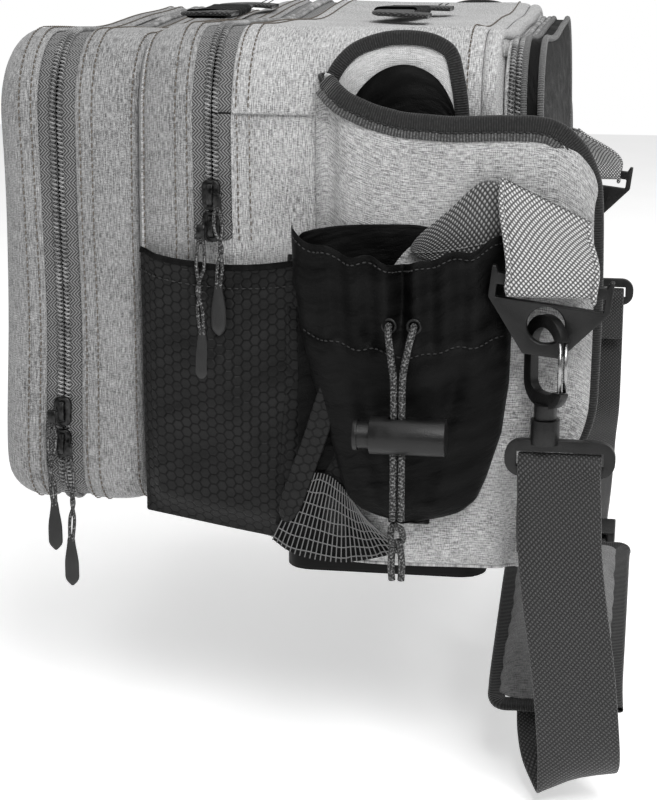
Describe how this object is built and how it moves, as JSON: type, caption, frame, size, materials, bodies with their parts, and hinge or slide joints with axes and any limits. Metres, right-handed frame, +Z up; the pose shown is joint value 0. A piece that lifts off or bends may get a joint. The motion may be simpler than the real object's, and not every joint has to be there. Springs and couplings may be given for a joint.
{
  "type": "ball tote bag",
  "caption": "Soft-sided ball tote bag, with zipped compartments, end pockets and a clip-on shoulder strap.",
  "frame": {"origin": "middle of the underside of the base panel", "axes": "+X along the bag's length, -Y out of its front pocket, +Z up"},
  "size_m": [0.511, 0.326, 0.3723],
  "materials": {
    "heather": "heather grey polyester weave",
    "black_nylon": "smooth black nylon",
    "ripstop": "black honeycomb ripstop",
    "binding": "ribbed grosgrain",
    "lining": "light grey lining",
    "webbing": "coarse woven webbing",
    "zip_tape": "herringbone zip tape with a moulded coil",
    "cord": "braided black cord",
    "plastic": "satin moulded black acetal",
    "zip_metal": "black painted zinc",
    "steel": "spring wire",
    "foam": "closed cell foam",
    "board": "corrugated stiffener",
    "base_fabric": "coated black base fabric"
  },
  "bodies": {
    "bag": {"base_panel": "base_fabric", "base_board": "board", "main_bottom_panel": "heather", "main_front_panel": "heather", "main_back_panel": "heather", "main_end_panels": "heather", "main_top_gusset": "heather", "main_zip_tape_body": "zip_tape", "ball_cup": "foam", "divider_pad": "foam", "front_pocket_gusset": "heather", "front_zip_tape_body": "zip_tape", "rear_pocket_gusset": "heather", "rear_zip_tape_body": "zip_tape", "end_pocket_panels": "heather", "end_pocket_bindings": "binding", "end_pocket_linings": "lining", "honeycomb_pockets": "ripstop", "mesh_gussets": "ripstop", "drawstring_pockets": "black_nylon", "drawcords": "cord", "cord_knots": "cord", "anchor_webbings": "webbing", "strap_rings": "plastic"},
    "lid": {"lid_panel": "heather", "main_zip_tape_lid": "zip_tape"},
    "front_cover": {"front_cover": "heather", "front_zip_tape_cover": "zip_tape"},
    "rear_cover": {"rear_cover": "black_nylon", "rear_zip_tape_cover": "zip_tape"},
    "front_handle": {"front_handle_webbing": "webbing", "front_handle_wrap": "binding"},
    "rear_handle": {"rear_handle_webbing": "webbing", "rear_handle_wrap": "binding"},
    "strap": {"strap_webbing": "webbing", "shoulder_pad": "ripstop", "tri_glide": "plastic", "strap_loops": "plastic"},
    "lock_near": {"cord_lock_near": "plastic"},
    "plunger_near": {"lock_plunger_near": "plastic"},
    "lock_far": {"cord_lock_far": "plastic"},
    "plunger_far": {"lock_plunger_far": "plastic"},
    "hook_near": {"hook_near": "plastic"},
    "gate_near": {"hook_gate_near": "steel"},
    "hook_far": {"hook_far": "plastic"},
    "gate_far": {"hook_gate_far": "steel"},
    "front_upper_slider": {"front_upper_slider": "zip_metal"},
    "front_upper_pull": {"front_upper_pull": "zip_metal"},
    "front_lower_slider": {"front_lower_slider": "zip_metal"},
    "front_lower_pull": {"front_lower_pull": "zip_metal"},
    "main_upper_slider": {"main_upper_slider": "zip_metal"},
    "main_upper_pull": {"main_upper_pull": "zip_metal"},
    "main_lower_slider": {"main_lower_slider": "zip_metal"},
    "main_lower_pull": {"main_lower_pull": "zip_metal"},
    "rear_slider": {"rear_slider": "zip_metal"},
    "rear_pull": {"rear_pull": "zip_metal"}
  },
  "joints": [
    {"name": "lid_hinge", "type": "hinge", "parent": "bag", "child": "lid", "pos_m": [0, 0.094, 0.272], "axis": [-1, 0, 0], "range_deg": [0, 95]},
    {"name": "front_cover_hinge", "type": "hinge", "parent": "bag", "child": "front_cover", "pos_m": [0, -0.122, 0.0275], "axis": [1, 0, 0], "range_deg": [0, 80]},
    {"name": "rear_cover_hinge", "type": "hinge", "parent": "bag", "child": "rear_cover", "pos_m": [0, 0.106, 0.038], "axis": [-1, 0, 0], "range_deg": [0, 25]},
    {"name": "front_handle_hinge", "type": "hinge", "parent": "bag", "child": "front_handle", "pos_m": [0, -0.056, 0.2845], "axis": [-1, 0, 0], "range_deg": [0, 90]},
    {"name": "rear_handle_hinge", "type": "hinge", "parent": "lid", "child": "rear_handle", "pos_m": [0, 0.052, 0.2845], "axis": [-1, 0, 0], "range_deg": [0, 90]},
    {"name": "strap_swing", "type": "hinge", "parent": "bag", "child": "strap", "pos_m": [0.226, 0.129, 0.142], "axis": [1, 0, 0], "range_deg": [0, 75]},
    {"name": "hook_near_swivel", "type": "hinge", "parent": "strap", "child": "hook_near", "pos_m": [0.226, 0.1295, 0.09], "axis": [0, 0, 1], "range_deg": [-8, 8]},
    {"name": "gate_near_hinge", "type": "hinge", "parent": "hook_near", "child": "gate_near", "pos_m": [0.23558, 0.13753, 0.1114], "axis": [0.6428, -0.766, 0], "range_deg": [0, 12], "stiffness_Nm_per_rad": 0.02, "springref_deg": -11.46},
    {"name": "lock_near_slide", "type": "slide", "parent": "bag", "child": "lock_near", "axis": [0, 0, 1], "range_m": [-0.02, 0.015]},
    {"name": "plunger_near_push", "type": "slide", "parent": "lock_near", "child": "plunger_near", "axis": [0, 1, 0], "range_m": [0, 0.005], "stiffness_N_per_m": 300, "springref_m": -0.004},
    {"name": "hook_far_swivel", "type": "hinge", "parent": "strap", "child": "hook_far", "pos_m": [-0.226, 0.1295, 0.09], "axis": [0, 0, 1], "range_deg": [-8, 8]},
    {"name": "gate_far_hinge", "type": "hinge", "parent": "hook_far", "child": "gate_far", "pos_m": [-0.23558, 0.13753, 0.1114], "axis": [0.6428, 0.766, 0], "range_deg": [0, 12], "stiffness_Nm_per_rad": 0.02, "springref_deg": -11.46},
    {"name": "lock_far_slide", "type": "slide", "parent": "bag", "child": "lock_far", "axis": [0, 0, 1], "range_m": [-0.02, 0.015]},
    {"name": "plunger_far_push", "type": "slide", "parent": "lock_far", "child": "plunger_far", "axis": [0, 1, 0], "range_m": [0, 0.005], "stiffness_N_per_m": 300, "springref_m": -0.004},
    {"name": "front_upper_slide", "type": "slide", "parent": "bag", "child": "front_upper_slider", "axis": [0, 0, 1], "range_m": [0, 0.13]},
    {"name": "front_upper_pull_hinge", "type": "hinge", "parent": "front_upper_slider", "child": "front_upper_pull", "pos_m": [0.1914, -0.122, 0.08], "axis": [0, -1, 0], "range_deg": [0, 160]},
    {"name": "front_lower_slide", "type": "slide", "parent": "bag", "child": "front_lower_slider", "axis": [0, 0, 1], "range_m": [-0.006, 0.002]},
    {"name": "front_lower_pull_hinge", "type": "hinge", "parent": "front_lower_slider", "child": "front_lower_pull", "pos_m": [0.1914, -0.122, 0.063], "axis": [0, -1, 0], "range_deg": [0, 160]},
    {"name": "main_upper_slide", "type": "slide", "parent": "bag", "child": "main_upper_slider", "axis": [0, 0, 1], "range_m": [0, 0.028]},
    {"name": "main_upper_pull_hinge", "type": "hinge", "parent": "main_upper_slider", "child": "main_upper_pull", "pos_m": [0.2012, -0.04, 0.196], "axis": [0, -1, 0], "range_deg": [0, 160]},
    {"name": "main_lower_slide", "type": "slide", "parent": "bag", "child": "main_lower_slider", "axis": [0, 0, 1], "range_m": [-0.003, 0.001]},
    {"name": "main_lower_pull_hinge", "type": "hinge", "parent": "main_lower_slider", "child": "main_lower_pull", "pos_m": [0.2012, -0.04, 0.18], "axis": [0, -1, 0], "range_deg": [0, 160]},
    {"name": "rear_slide", "type": "slide", "parent": "bag", "child": "rear_slider", "axis": [0, 0, 1], "range_m": [-0.08, 0.06]},
    {"name": "rear_pull_hinge", "type": "hinge", "parent": "rear_slider", "child": "rear_pull", "pos_m": [0.1589, 0.106, 0.16], "axis": [0, -1, 0], "range_deg": [0, 30]}
  ]
}
